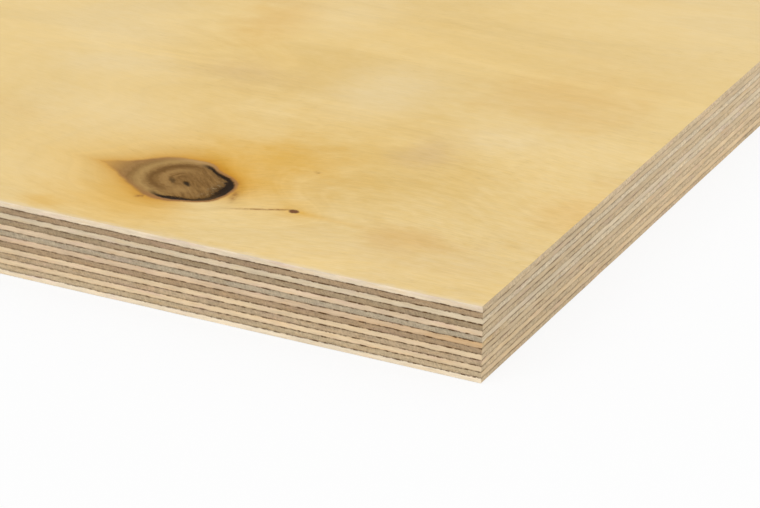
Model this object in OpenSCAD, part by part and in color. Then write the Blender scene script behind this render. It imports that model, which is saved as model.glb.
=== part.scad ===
// Plywood sheet: veneers glued with their grain crossed, sawn square and sanded on both faces.
// Millimetres. The origin is the middle of the underside, +X follows the grain of the faces, +Z is up.

/* [Sheet] */
// Length of the sheet, along the grain of its faces
sheet_length = 1220; // [300:10:3660]
// Width of the sheet, across the grain of its faces
sheet_width = 610; // [300:10:1830]
// Breadth of the arris that sanding takes off the outer edges of both faces
arris = 0.3; // [0.1:0.1:0.5]

/* [Veneers] */
// Number of veneers whose grain runs across the sheet
cross_count = 6; // [1:1:17]
// Thickness of an inner veneer as pressed
inner_thickness = 1.4; // [0.8:0.1:3.2]
// Thickness of a face or back veneer after sanding
outer_thickness = 1.3; // [0.6:0.1:3]

/* [Hidden] */
// Long veneers lie between the cross ones, and the two outer veneers close the stack
long_count = cross_count - 1;

// Grain directions alternate, so one cross veneer and the long one under it make a repeating pair
pair_thickness = 2 * inner_thickness;

// Underside of the outer veneer on top, down from which the inner veneers are laid
inner_top = outer_thickness + (cross_count + long_count) * inner_thickness;

// Veneer colours on the sawn edges
face_tone = [0.91, 0.80, 0.57];
cross_tone = [0.69, 0.60, 0.48];
long_tone = [0.86, 0.77, 0.64];

CROSS_NODES = [for (n = [1:cross_count]) str("cross_ply_", n)];
LONG_NODES = [for (n = [1:1:long_count]) str("long_ply_", n)];

// One inner veneer, a flat leaf as large as the sheet, with its top at the given height
module inner_leaf(top) {
    translate([0, 0, top - inner_thickness])
        linear_extrude(inner_thickness)
            square([sheet_length, sheet_width], center = true);
}

// Section of an outer veneer: a flat bar of the given breadth, with both upper arrises taken off
module outer_section(breadth) {
    half = breadth / 2;
    shoulder = outer_thickness - arris;
    polygon([
        [-half, 0],
        [half, 0],
        [half, shoulder],
        [half - arris, outer_thickness],
        [arris - half, outer_thickness],
        [-half, shoulder]
    ]);
}

// One outer veneer, lying with its sanded face up and its glued face at height zero
module outer_leaf() {
    intersection() {
        rotate([90, 0, 0])
            linear_extrude(sheet_width, center = true)
                outer_section(sheet_length);
        rotate([90, 0, 90])
            linear_extrude(sheet_length, center = true)
                outer_section(sheet_width);
    }
}

// Upper outer veneer, sanded face up
module face_veneer() {
    color(face_tone)
        translate([0, 0, inner_top])
            outer_leaf();
}

// Veneer n from the top of those whose grain runs across the sheet
module cross_ply(n) {
    color(cross_tone)
        inner_leaf(inner_top - (n - 1) * pair_thickness);
}

// Veneer n from the top of the inner ones whose grain runs along the sheet
module long_ply(n) {
    color(long_tone)
        inner_leaf(inner_top - inner_thickness - (n - 1) * pair_thickness);
}

// Lower outer veneer, sanded face down
module back_veneer() {
    color(face_tone)
        translate([0, 0, outer_thickness])
            mirror([0, 0, 1])
                outer_leaf();
}

face_veneer();
for (n = [1:cross_count]) cross_ply(n);
for (n = [1:1:long_count]) long_ply(n);
back_veneer();
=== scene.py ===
"""Plywood sheet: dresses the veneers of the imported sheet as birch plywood, with sanded faces and sawn edges.

Lengths are metres in the meshes and millimetres in the shaders. The sheet lies on its back veneer, its face
grain runs along X, and the photographed corner is the front right one, at +X and -Y.
"""
import math

import bpy
import numpy as np
from bpy.props import FloatProperty, FloatVectorProperty, PointerProperty
from mathutils import Matrix, Vector


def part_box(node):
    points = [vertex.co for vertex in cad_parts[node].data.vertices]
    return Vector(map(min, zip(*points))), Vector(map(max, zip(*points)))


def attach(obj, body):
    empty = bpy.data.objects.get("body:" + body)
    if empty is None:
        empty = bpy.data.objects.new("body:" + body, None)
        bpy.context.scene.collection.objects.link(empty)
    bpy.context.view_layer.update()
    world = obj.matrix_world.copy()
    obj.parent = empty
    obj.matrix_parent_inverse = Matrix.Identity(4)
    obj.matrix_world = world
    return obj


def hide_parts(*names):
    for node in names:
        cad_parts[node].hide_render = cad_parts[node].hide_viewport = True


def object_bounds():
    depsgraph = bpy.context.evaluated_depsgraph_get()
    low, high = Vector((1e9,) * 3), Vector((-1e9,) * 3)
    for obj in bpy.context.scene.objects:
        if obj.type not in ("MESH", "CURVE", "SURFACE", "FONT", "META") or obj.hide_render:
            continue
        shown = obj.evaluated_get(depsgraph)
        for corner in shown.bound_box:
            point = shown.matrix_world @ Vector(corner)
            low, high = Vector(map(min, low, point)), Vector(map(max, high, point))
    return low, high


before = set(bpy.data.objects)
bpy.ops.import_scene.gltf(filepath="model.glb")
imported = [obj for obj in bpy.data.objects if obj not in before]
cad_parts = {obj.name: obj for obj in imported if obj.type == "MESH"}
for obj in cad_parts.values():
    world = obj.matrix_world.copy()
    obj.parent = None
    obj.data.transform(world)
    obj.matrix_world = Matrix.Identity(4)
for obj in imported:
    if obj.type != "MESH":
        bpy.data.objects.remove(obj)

bl_info = {
    "name": "Plywood sheet",
    "version": (1, 0, 0),
    "blender": (4, 5, 0),
    "location": "View3D > Sidebar > Plywood",
    "description": "Builds a birch plywood sheet veneer by veneer, with its figure, knots and sawn edges",
    "category": "Add Mesh",
}

CAD_LOW, CAD_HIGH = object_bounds()
MM = 0.001
PER_M = 1000

# The veneers from the top down, and the front right corner of the sanded face, from which its marks are
# placed
STACK = sorted(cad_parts, key=lambda name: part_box(name)[1].z, reverse=True)
CORNER = Vector((CAD_HIGH.x, CAD_LOW.y, CAD_HIGH.z))


def tone(red, green, blue):
    """A colour as a screen shows it, each part from 0 to 255, turned into the linear values of a shader."""
    screen = np.array([red, green, blue]) / 255
    linear = np.where(screen <= 0.04045, screen / 12.92, ((screen + 0.055) / 1.055) ** 2.4)
    return tuple(float(part) for part in linear)


# Wood tones of the sawn edges
IVORY = tone(241, 225, 198)
CREAM = tone(227, 209, 181)
PALE = tone(214, 196, 166)
ROSE = tone(220, 196, 164)
WARM = tone(226, 202, 166)
HONEY = tone(216, 190, 158)
BROWN = tone(173, 148, 117)
UMBER = tone(167, 146, 116)
GREY = tone(183, 167, 141)
TAN = tone(191, 168, 136)
DUN = tone(197, 176, 143)
GREIGE = tone(204, 187, 158)
STRAW = tone(209, 186, 150)

# Tones of the veneers from the top down, on the long front and back edges and on the short ends
LONG_EDGE_TONES = (CREAM, BROWN, PALE, UMBER, ROSE, GREY, HONEY, BROWN, WARM, TAN, WARM, DUN, IVORY)
SHORT_END_TONES = (DUN, DUN, GREIGE, DUN, DUN, GREIGE, GREIGE, DUN, DUN, STRAW, DUN, STRAW, DUN)

# Tones of the pin knots, of the face's fine lines, of the glue film on hidden faces and of the large knot
PIN_BROWN = tone(120, 79, 48)
LINE_BROWN = tone(146, 98, 50)
FILM_DARK = tone(106, 70, 38)
FILM_LIGHT = tone(134, 95, 56)
KNOT_TONES = {
    "bark": tone(36, 21, 4),
    "pith": tone(40, 26, 4),
    "shade": tone(114, 80, 36),
    "heart": tone(146, 110, 60),
    "pale": tone(167, 130, 76),
    "olive": tone(173, 138, 82),
    "tail": tone(162, 123, 71),
    "rim": tone(162, 115, 66),
    "crest": tone(186, 149, 96),
    "grit": tone(176, 154, 114),
    "scorch": tone(192, 130, 46),
}


def colour_property(label, description, *screen):
    """A colour that the panel shows as a swatch, given as a screen shows it."""
    return FloatVectorProperty(name=label, description=description, subtype="COLOR", size=3, min=0, max=1,
                               default=tone(*screen))


def length_property(label, description, metres):
    """A length that the panel shows in the scene's unit."""
    return FloatProperty(name=label, description=description, unit="LENGTH", precision=5, default=metres)


def angle_property(label, description, degrees):
    """An angle that the panel shows in degrees."""
    return FloatProperty(name=label, description=description, subtype="ANGLE", default=math.radians(degrees))


def number_property(label, description, default):
    """A plain number."""
    return FloatProperty(name=label, description=description, default=default)


class PlywoodFace(bpy.types.PropertyGroup):
    """Tones of the sanded faces and the places of the face's knots."""

    straw: colour_property("Straw", "Main tone of the sanded birch", 234, 205, 144)
    gold: colour_property("Gold", "Warmer tone of its clouds", 226, 192, 122)
    milk: colour_property("Milk", "Palest tone of its wisps", 237, 212, 160)
    rust: colour_property("Rust", "Reddest tone of its stains", 222, 178, 104)
    amber: colour_property("Amber", "Resin tone that knots bleed into the wood", 222, 165, 30)
    smoke: colour_property("Smoke", "Greyest tone of its stains", 214, 184, 136)
    cream: colour_property("Cream", "Tone of the torn fibres along its long arrises", 230, 212, 180)
    knot_from_end: length_property("Knot from the end", "From the right end to the knot's pith", 0.089)
    knot_from_edge: length_property("Knot from the edge", "From the front edge to the knot's pith", 0.030)
    pin_from_end: length_property("Pin knot from the end", "From the right end to the pin knot", 0.0588)
    pin_from_edge: length_property("Pin knot from the edge", "From the front edge to the pin knot", 0.026)


class PlywoodEdges(bpy.types.PropertyGroup):
    """Relief and glue of the sawn edges."""

    arris: length_property("Arris", "Breadth of the sanded arris round both faces", 0.0003)
    groove: length_property("Groove", "Depth of the groove that the saw leaves at a glue line", 0.00007)
    wave: length_property("Wave", "How far a glue line strays from its level", 0.00003)
    rough: length_property("Roughness", "Depth of the saw's unevenness on an edge", 0.00003)
    glue: colour_property("Glue", "Tone of the pressed glue lines", 86, 56, 18)


class PlywoodStage(bpy.types.PropertyGroup):
    """Camera and light."""

    azimuth: angle_property("Azimuth", "Camera's turn from the front to the right", 26.24)
    elevation: angle_property("Elevation", "Camera's angle above the horizon", 24.33)
    roll: angle_property("Roll", "Camera's turn about its own line of sight", 0.72)
    eye: FloatVectorProperty(name="Eye", description="Camera's place from the front right corner of the face",
                             subtype="TRANSLATION", unit="LENGTH", default=(0.2970, -0.6521, 0.3360))
    lens: number_property("Lens", "Focal length in millimetres on a 36 mm wide sensor", 177.3)
    sky: number_property("Sky", "Strength of the even light from all round", 0.78)
    front_lamp: number_property("Front lamp", "Power of the lamp at the front in watts", 38.0)
    end_lamp: number_property("End lamp", "Power of the lamp at the right end in watts", 34.0)


class Wire:
    """A value that leaves a node. Arithmetic on wires adds Math nodes to their tree."""

    def __init__(self, nodes, socket):
        self.nodes = nodes
        self.socket = socket

    def __add__(self, other):
        return self.nodes.math("ADD", self, other)

    def __sub__(self, other):
        return self.nodes.math("SUBTRACT", self, other)

    def __rsub__(self, other):
        return self.nodes.math("SUBTRACT", other, self)

    def __mul__(self, other):
        return self.nodes.math("MULTIPLY", self, other)

    def __truediv__(self, other):
        return self.nodes.math("DIVIDE", self, other)

    __radd__ = __add__
    __rmul__ = __mul__


class Nodes:
    """A shader tree being built: each method adds a few nodes and gives the wire that leaves them."""

    def __init__(self, tree):
        self.tree = tree

    def feed(self, socket, value):
        """Links a wire to a socket, or sets the socket to a plain value. A colour of three parts is
        opaque."""
        if isinstance(value, Wire):
            self.tree.links.new(value.socket, socket)
        elif socket.type == "RGBA":
            socket.default_value = (*value, 1.0)
        else:
            socket.default_value = value

    def add(self, kind, inputs, output=0, **settings):
        """Adds a node of the kind, with its settings and its inputs by name or number."""
        node = self.tree.nodes.new("ShaderNode" + kind)
        for key, value in settings.items():
            setattr(node, key, value)
        for key, value in inputs.items():
            self.feed(node.inputs[key], value)
        return Wire(self, node.outputs[output])

    def math(self, operation, *values):
        return self.add("Math", dict(enumerate(values)), operation=operation)

    def vector(self, operation, *values):
        return self.add("VectorMath", dict(enumerate(values)), operation=operation)

    def measure(self, operation, *vectors):
        """A number worked out from vectors, such as a length, a distance or a dot product."""
        return self.add("VectorMath", dict(enumerate(vectors)), output=1, operation=operation)

    def hypot(self, x, y):
        """The length of the vector x, y."""
        return self.math("SQRT", x * x + y * y)

    def split(self, vector):
        """The X, Y and Z of a vector."""
        node = self.add("SeparateXYZ", {0: vector}).socket.node
        return [Wire(self, socket) for socket in node.outputs]

    def joined(self, x, y, z):
        return self.add("CombineXYZ", {0: x, 1: y, 2: z})

    def noise(self, vector, scale, detail=2.0, roughness=0.5, output=0):
        """Cloudy noise from 0 to 1, about 0.5."""
        inputs = {"Vector": vector, "Scale": scale, "Detail": detail, "Roughness": roughness}
        return self.add("TexNoise", inputs, output)

    def grain(self, x, y, seed, waves_x, waves_y, offset, detail, roughness):
        """Cloudy noise with its own number of waves to a millimetre along x and y."""
        return self.noise(self.joined(x * waves_x, y * waves_y, seed + offset), 1.0, detail, roughness)

    def frayed(self, place, scale, detail, roughness, reach):
        """A place that noise moves by up to half the reach, so that the outlines drawn from it fray."""
        colour = self.noise(place, scale, detail, roughness, output=1)
        stray = self.vector("SUBTRACT", colour, (0.5, 0.5, 0.5))
        return self.vector("ADD", place, self.vector("MULTIPLY", stray, reach))

    def ramp(self, value, start, end, low=0.0, high=1.0):
        """Goes smoothly from low to high as the value goes from start to end, and stays there."""
        inputs = {0: value, 1: start, 2: end, 3: low, 4: high}
        return self.add("MapRange", inputs, interpolation_type="SMOOTHSTEP")

    def bell(self, value, breadth):
        """The bell curve of a value: 1 at zero, and small past the breadth."""
        scaled = value / breadth
        return self.math("EXPONENT", scaled * scaled * -1.0)

    def bells(self, value, mean, *bells):
        """A mean with bell curves of the value added, each of a height, a middle and a breadth."""
        total = mean
        for height, middle, breadth in bells:
            total = total + self.bell(value - middle, breadth) * height
        return total

    def fading(self, distance, rate):
        """Falls from 1 towards 0 as the distance grows, by the rate for each millimetre."""
        return self.math("EXPONENT", distance * -rate)

    def mix(self, factor, a, b):
        """A colour between a and b."""
        return self.add("Mix", {0: factor, 6: a, 7: b}, output=2, data_type="RGBA")

    def between(self, factor, a, b):
        """A value between a and b."""
        return self.add("Mix", {0: factor, 2: a, 3: b}, data_type="FLOAT")

    def scaled(self, colour, factor):
        """A colour made lighter or darker by a factor."""
        return self.vector("MULTIPLY", colour, self.joined(factor, factor, factor))

    def attribute(self, name):
        """A value that the mesh carries."""
        return self.add("Attribute", {}, output=2, attribute_name=name)

    def place(self):
        """The point on the piece in millimetres, from the frame's origin."""
        object_place = self.add("TexCoord", {}, output="Object")
        return self.add("VectorMath", {0: object_place, "Scale": PER_M}, operation="SCALE")

    def group(self, name, inputs):
        """Places a shared group with its own values, and gives its outputs by name."""
        node = self.tree.nodes.new("ShaderNodeGroup")
        node.node_tree = bpy.data.node_groups[name]
        for key, value in inputs.items():
            self.feed(node.inputs[key], value)
        return {socket.name: Wire(self, socket) for socket in node.outputs}


# Sockets of the shared groups that carry a vector or a colour: the others carry a plain value
VECTORS = ("Place", "Centre", "Half size", "Spacing", "Start", "End")
COLOURS = ("Colour", "Long edge tone", "End tone", "Glue")


def add_socket(tree, label, way):
    """Gives a node group an input or output, of the kind that its label stands for."""
    kind = "Vector" if label in VECTORS else "Color" if label in COLOURS else "Float"
    tree.interface.new_socket(label, in_out=way, socket_type="NodeSocket" + kind)


def shared_group(name, build, inputs):
    """Makes a node group with named inputs. The build function wires up its inside and names its outputs."""
    tree = bpy.data.node_groups.new(name, "ShaderNodeTree")
    for label in inputs:
        add_socket(tree, label, "INPUT")
    n = Nodes(tree)
    entry = tree.nodes.new("NodeGroupInput")
    results = build(n, {label: Wire(n, entry.outputs[label]) for label in inputs})
    for label in results:
        add_socket(tree, label, "OUTPUT")
    leave = tree.nodes.new("NodeGroupOutput")
    for label, wire in results.items():
        n.feed(leave.inputs[label], wire)


# Noise of the birch figure: waves to a millimetre along and across the grain, seed, detail and roughness.
# The first is of the relief of the growth rings, the second of its contours, and the last of the patches
# where pores gather.
RELIEF_NOISE = (0.0032, 0.011, 40.0, 2.0, 0.45)
CONTOUR_NOISE = (3.4, 0.003, 17.0, 4.0, 0.62)
FIGURE_NOISE = {
    "cloud": (0.0065, 0.021, 0.0, 4.0, 0.52),
    "wisps": (0.012, 0.042, 7.0, 4.0, 0.58),
    "rust": (0.010, 0.034, 13.0, 4.0, 0.55),
    "fibre": (0.15, 1.9, 23.0, 2.0, 0.6),
    "pores": (0.36, 3.0, 29.0, 1.0, 0.5),
    "flecks": (0.22, 0.40, 37.0, 3.0, 0.6),
}
PORE_PATCHES = (0.02, 0.03, 31.0, 1.0, 0.5)

# How many units high the relief is, and how many millimetres a unit of it bends the grain
RELIEF_HEIGHT = 5.0
RELIEF_BEND = 12.0


def figure_group(n, given):
    """Birch figure of a rotary-cut face. The knife cuts level through a slow relief of the growth rings,
    which knots raise, so the relief's contours show as lines that close round knots and hills. Clouds, pale
    wisps and rusty patches are broad noise drawn out along the grain, flecks are finer, and fibre and pores
    are the finest."""
    seed = given["Seed"]
    x, y, _ = n.split(given["Place"])
    relief = n.grain(x, y, seed, *RELIEF_NOISE) * RELIEF_HEIGHT + given["Rise"]
    across = y + relief * RELIEF_BEND
    layer = {name: n.grain(x, across, seed, *waves) for name, waves in FIGURE_NOISE.items()}
    return {
        "Cloud": n.ramp(layer["cloud"], 0.40, 0.74),
        "Wisps": n.ramp(layer["wisps"], 0.48, 0.72),
        "Rust": n.ramp(layer["rust"], 0.57, 0.78),
        "Lines": n.grain(relief, x, seed, *CONTOUR_NOISE) - 0.5,
        "Fibre": layer["fibre"] - 0.5,
        "Flecks": layer["flecks"] - 0.5,
        "Pores": n.ramp(layer["pores"], 0.58, 0.74) * n.ramp(n.grain(x, y, seed, *PORE_PATCHES), 0.35, 0.6),
    }


# Shape of a sound knot whose branch is about 24 mm thick, in millimetres: its mean radius, how much more it
# reaches to the front, along the grain, along its slanting axis, at its corners and between its flat sides,
# the tail that the grain draws out to the left, with its spread in radians and its rise, and the depth of
# the bark inside the outline
KNOT_RADIUS = 12.2
KNOT_DROP = 0.4
KNOT_LONG = 0.4
KNOT_SLANT = 1.0
KNOT_CORNER = 0.6
KNOT_SIDES = 0.28
KNOT_TAIL = 10.6
KNOT_TAIL_SPREAD = 0.29
KNOT_TAIL_RISE = 0.05
BARK_DEPTH = 2.2

# How the bark's half breadth, the depth of its middle and its strength change with the angle about the
# pith: a mean, and bells of a height, an angle and a breadth. The bark starts and ends between the angles
# of its two ends.
BARK_HALF = (0.45, (0.95, -0.10, 0.55), (0.35, -1.35, 0.45))
BARK_MIDDLE = (1.9, (0.50, -0.10, 0.50), (-0.45, 0.90, 0.45), (0.90, -1.95, 0.45))
BARK_STRENGTH = (1.0, (-0.22, -0.62, 0.30))
BARK_ENDS = ((1.80, 1.35), (-2.20, -1.60))

# Centre of the growth rings from the pith, and the rings' tones, radii, breadths and strengths
RING_CENTRE = (-0.9, 0.9)
KNOT_RINGS = (("pale", 4.5, 1.0, 0.75), ("shade", 7.4, 1.0, 0.95), ("olive", 10.2, 1.5, 0.9))
TAIL_RING = (11.8, 13.8)

# Noise of the growth rings, from the radius and the angle, and of the splits, along and across their slant
GROWTH_NOISE = (1.05, 0.6, 0.0, 2.0, 0.5)
SPLIT_NOISE = (0.9, 0.14, 4.0, 4.0, 0.66)

# Resin outside the knot: where it is left out, and how fast its bleed, its scorch and the growth rings'
# rise fade
RESIN_GAP = (1.0, (-0.95, -0.76, 0.42))
BLEED_FADE = 0.095
SCORCH_FADE = 0.42
RISE_FADE = 0.05
DIAGONAL = math.sqrt(0.5)


def knot_core(cosine, sine):
    """Radius of the knot without its tail, from the cosine and sine of the angle, as wires or arrays: a
    round with waves of one, two, three and six to the turn."""
    long_wave = cosine * cosine - sine * sine
    slant_wave = cosine * sine * 2.0
    corner_wave = cosine * (cosine * cosine * 4.0 - 3.0)
    long_sides = long_wave * (long_wave * long_wave * 4.0 - 3.0)
    slant_sides = slant_wave * (3.0 - slant_wave * slant_wave * 4.0)
    round_part = KNOT_RADIUS - sine * KNOT_DROP + long_wave * KNOT_LONG - slant_wave * KNOT_SLANT
    return round_part + corner_wave * KNOT_CORNER + (slant_sides * 0.8 - long_sides * 0.6) * KNOT_SIDES


def knot_bark(n, angle, inward, chips):
    """The ring of bark, chipped on its inner side: its mask, the depths of its outer and inner sides, and
    how fully it shows at the angle."""
    half = n.bells(angle, *BARK_HALF)
    middle = n.bells(angle, *BARK_MIDDLE)
    start, end = BARK_ENDS
    reach = n.ramp(angle, *start) * n.ramp(angle, *end) * n.bells(angle, *BARK_STRENGTH)
    outer = middle - half
    inner = middle + half + (chips - 0.5) * half * 3.0
    mask = n.ramp(inward, outer - 0.5, outer + 0.3) * n.ramp(inward, inner + 0.5, inner - 0.5) * reach
    return mask, outer, inner, reach


def knot_wood(n, x, y, angle, chips):
    """The knot's wood: growth rings show on its left, slanting splits on its right, and a pale patch at its
    foot."""
    leftward = n.ramp(x, 3.0, -4.0)
    ring = n.hypot(x - RING_CENTRE[0], y - RING_CENTRE[1]) + (chips - 0.5) * 1.8
    growth = n.grain(ring, angle, 0.0, *GROWTH_NOISE)
    splits = n.grain(x + y, x - y, 0.0, *SPLIT_NOISE)
    light = n.ramp(splits + (growth - splits) * leftward, 0.28, 0.72)
    wood = n.mix(light, KNOT_TONES["shade"], KNOT_TONES["heart"])
    for name, radius, breadth, strength in KNOT_RINGS:
        wood = n.mix(n.bell(ring - radius, breadth) * leftward * strength, wood, KNOT_TONES[name])
    wood = n.mix(n.ramp(ring, *TAIL_RING) * leftward * 0.8, wood, KNOT_TONES["tail"])
    wood = n.mix(n.bell(ring - 6.5, 2.0) * n.bell(angle + 1.3, 0.6) * 0.8, wood, KNOT_TONES["pale"])
    return n.scaled(wood, 0.72 + splits * 0.32 + chips * 0.24)


def pith_mark(n, side, lean):
    """A slit of pith that leans to the left: 1 in its middle, from the offsets across it and along it."""
    return n.ramp(n.math("SQRT", side * side * 2.0 + lean * lean * 0.30), 1.25, 0.35)


def knot_group(n, given):
    """A sound knot, drawn from the depth inside its outline and the angle about its pith. The outline is
    the core with a pointed tail added, tail exp(-turn from the left / spread). A dark ring of bark runs
    about two millimetres inside it on the right, two pith marks lie near the middle, and resin bleeds
    outside."""
    local = n.vector("SUBTRACT", given["Place"], given["Centre"])
    x, y, _ = n.split(n.frayed(local, 0.33, 3.0, 0.55, (1.3, 1.3, 0.0)))
    far = n.math("MAXIMUM", n.hypot(x, y), 0.05)
    cosine = x / far
    sine = y / far
    angle = n.math("ARCTAN2", y, x)
    turn = n.math("ABSOLUTE", n.math("ARCTAN2", y - far * KNOT_TAIL_RISE, x * -1.0))
    inward = knot_core(cosine, sine) + n.fading(turn, 1 / KNOT_TAIL_SPREAD) * KNOT_TAIL - far
    soft = n.ramp(x, 4.0, -12.0, 0.45, 0.9)
    inside = n.ramp(inward, soft * -0.6, soft * 1.2) * n.ramp(x, -22.5, -14.0, 0.2, 1.0)

    chips = n.noise(local, 0.8, 4.0, 0.66)
    bark, outer, inner, reach = knot_bark(n, angle, inward, chips)
    rim = n.ramp(inward, outer + 0.2, outer - 0.4) * reach + n.bell(inward - 0.4, 1.2) * (1.0 - reach) * 0.5
    crest = n.bell(inward - 0.9, 1.2) * n.bell(angle - 1.75, 0.5)
    crumbs = n.bell(inward - inner - 0.7, 1.2) * n.bell(angle + 0.15, 0.50)
    lean = (y - x) * DIAGONAL
    side = (x + y) * DIAGONAL
    pith = n.math("MAXIMUM", pith_mark(n, side, lean + 2.0), pith_mark(n, side + 2.6, lean - 1.1) * 0.6)
    colour = knot_wood(n, x, y, angle, chips)
    for mask, name in (
        (rim, "rim"),
        (crest * 0.8, "crest"),
        (crumbs * 0.45, "bark"),
        (crumbs * n.ramp(chips, 0.50, 0.62) * 0.6, "grit"),
        (pith * 0.95, "pith"),
        (bark, "bark"),
    ):
        colour = n.mix(mask, colour, KNOT_TONES[name])

    outside = n.math("MAXIMUM", inward * -1.0, 0.0)
    lobes = cosine * 0.5 + sine * 0.87
    resin = (0.55 + lobes * lobes * 0.33 + lobes * 0.12) * n.bells(angle, *RESIN_GAP)
    return {
        "Inside": inside,
        "Colour": colour,
        "Bleed": n.fading(outside, BLEED_FADE) * resin,
        "Scorch": n.fading(outside, SCORCH_FADE) * resin,
        "Pit": n.math("MAXIMUM", bark, pith) * inside,
        "Rise": n.fading(outside, RISE_FADE),
    }


def pin_knot_group(n, given):
    """A pin knot: a small dark oval drawn out along the grain, in a halo of resin that trails off to the
    right."""
    local = n.vector("SUBTRACT", given["Place"], given["Centre"])
    x, y, _ = n.split(n.frayed(local, 0.9, 2.0, 0.5, (1.2, 0.9, 0.0)))
    far = n.math("SQRT", x * x * 0.6 + y * y)
    trail = n.bell(y + x * 0.05, 1.3) * n.ramp(x, -1.0, 2.0) * n.ramp(x, 30.0, 2.0)
    return {
        "Inside": n.ramp(far, 1.25, 0.65),
        "Bleed": n.bell(far, 3.6) * 0.9 + trail * 0.6,
        "Rise": n.fading(far, 0.2) * 0.3,
    }


def streak_group(n, given):
    """A fine dark line from Start to End, bowed sideways by Bow halfway along, uneven, and fading to both
    ends."""
    run = n.vector("SUBTRACT", given["End"], given["Start"])
    from_start = n.vector("SUBTRACT", given["Place"], given["Start"])
    way = n.vector("NORMALIZE", run)
    along = n.measure("DOT_PRODUCT", from_start, way) / n.measure("LENGTH", run)
    way_x, way_y, _ = n.split(way)
    off_x, off_y, _ = n.split(from_start)
    aside = off_y * way_x - off_x * way_y
    share = n.math("MINIMUM", n.math("MAXIMUM", along, 0.0), 1.0)
    arch = share * (1.0 - share) * 4.0
    wander = n.noise(n.vector("MULTIPLY", given["Place"], (0.5, 0.5, 0.0)), 1.0, 2.0, 0.5) - 0.5
    uneven = n.ramp(n.noise(given["Place"], 0.8, 2.0, 0.6), 0.3, 0.65, 0.45, 1.0)
    off_line = n.math("ABSOLUTE", aside - arch * given["Bow"] - wander * 0.7)
    ends = n.ramp(along, -0.05, 0.15) * n.ramp(along, 1.05, 0.4)
    return {"Mask": n.bell(off_line, given["Breadth"]) * ends * uneven}


# Noise of the sawn edges: waves to a millimetre along the edge and up through the sheet, seed, detail and
# roughness
EDGE_NOISE = {
    "drift": (0.055, 0.2, 0.0, 4.0, 0.62),
    "blush": (0.15, 0.9, 3.0, 4.0, 0.65),
    "mauve": (0.10, 0.6, 27.0, 3.0, 0.6),
    "streaks": (0.25, 2.2, 5.0, 3.0, 0.65),
    "specks": (0.65, 1.5, 13.0, 4.0, 0.72),
    "pores": (3.6, 2.8, 19.0, 1.0, 0.5),
}
SCRATCH_NOISE = (2.2, 0.5, 9.0, 2.0, 0.6)
SCRATCH_SLANT = 0.8 / 2.2
DASH_NOISE = (1.0, 0.75, 2.0, 4.0, 0.72)
FRAY_NOISE = (1.8, 1.2, 6.0, 2.0, 0.6)

# Changes of tone in an edge's blushes and mauve patches, and the waves of its dashes on long edges and
# short ends
BLUSH = (1.04, 0.95, 0.82)
MAUVE = (0.99, 0.93, 1.02)
DASH_WAVES = (0.50, 0.16)


def sawn_edge_group(n, given):
    """A veneer's sawn edge, read along the edge and up through the sheet. Its tone drifts along the edge.
    Long grain shows as streaks, end grain as upright scratches, specks and open pores. The glue darkens the
    last tenths of a millimetre in broken dashes, which are longer on the short ends."""
    x, y, z = n.split(given["Place"])
    run = x + y
    seed = given["Seed"]
    end_grain = given["End grain"]
    short_end = given["Short end"]
    layer = {name: n.grain(run, z, seed, *waves) - 0.5 for name, waves in EDGE_NOISE.items()}
    scratches = n.grain(run + z * SCRATCH_SLANT, z, seed, *SCRATCH_NOISE) - 0.5
    open_pores = n.ramp(layer["pores"], 0.08, 0.20) * end_grain
    grain = n.between(end_grain, layer["streaks"] * 0.55, scratches * 0.55 + layer["specks"])
    base = n.mix(short_end, given["Long edge tone"], given["End tone"])
    base = n.mix(n.ramp(layer["blush"], -0.04, 0.20) * 0.6, base, n.vector("MULTIPLY", base, BLUSH))
    base = n.mix(n.ramp(layer["mauve"], 0.0, 0.20) * 0.7, base, n.vector("MULTIPLY", base, MAUVE))
    shade = 1.0 + layer["drift"] * 0.60 + grain - open_pores * 0.20

    dashes = n.grain(run * n.between(short_end, *DASH_WAVES), z, 0.0, *DASH_NOISE)
    strength = n.ramp(dashes, 0.38, 0.62, 0.22, 1.0)
    fray = n.grain(run, z, 0.0, *FRAY_NOISE) - 0.5
    gap = n.math("ABSOLUTE", given["From glue"] + fray * 0.08)
    breadth = 0.09 + strength * 0.16
    line = n.ramp(gap, breadth, breadth * 0.4) * strength
    stain = n.ramp(given["From glue"], 0.45, 0.0) * n.between(end_grain, 0.05, 0.16)
    colour = n.scaled(base, shade * (1.0 - stain))
    return {
        "Colour": n.mix(line * given["Glue strength"], colour, given["Glue"]),
        "Height": grain * 0.6 - open_pores * 0.6 - line * 0.9,
        "Roughness": 0.78 + scratches * 0.2 - line * 0.12,
    }


def stain_group(n, given):
    """A soft oval stain, whose cloudy outline follows the lines of the figure."""
    offset = n.vector("SUBTRACT", given["Place"], given["Centre"])
    x, y, _ = n.split(n.vector("DIVIDE", offset, given["Half size"]))
    cloudy = n.noise(n.vector("MULTIPLY", given["Place"], (0.07, 0.09, 0.0)), 1.0, 5.0, 0.62) - 0.5
    far = n.hypot(x, y) + cloudy * 2.4 + given["Lines"] * 1.6
    return {"Mask": n.ramp(far, 1.7, -0.1)}


def stray_pins_group(n, given):
    """Small pin knots strewn over a sheet: the nearest point of a random net, kept in a third of its
    cells."""
    net = n.vector("DIVIDE", given["Place"], given["Spacing"])
    cell = n.add("TexVoronoi", {"Vector": net, "Scale": 1.0}, voronoi_dimensions="2D").socket.node
    pick, size, _ = n.split(Wire(n, cell.outputs["Color"]))
    offset = n.vector("SUBTRACT", net, Wire(n, cell.outputs["Position"]))
    x, y, _ = n.split(n.vector("MULTIPLY", offset, given["Spacing"]))
    far = n.math("SQRT", x * x * 0.5 + y * y) / (0.7 + size * 0.7)
    kept = n.math("LESS_THAN", pick, 0.33) * given["Where"]
    return {"Inside": n.ramp(far, 1.25, 0.6) * kept, "Bleed": n.bell(far, 4.0) * kept}


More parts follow.
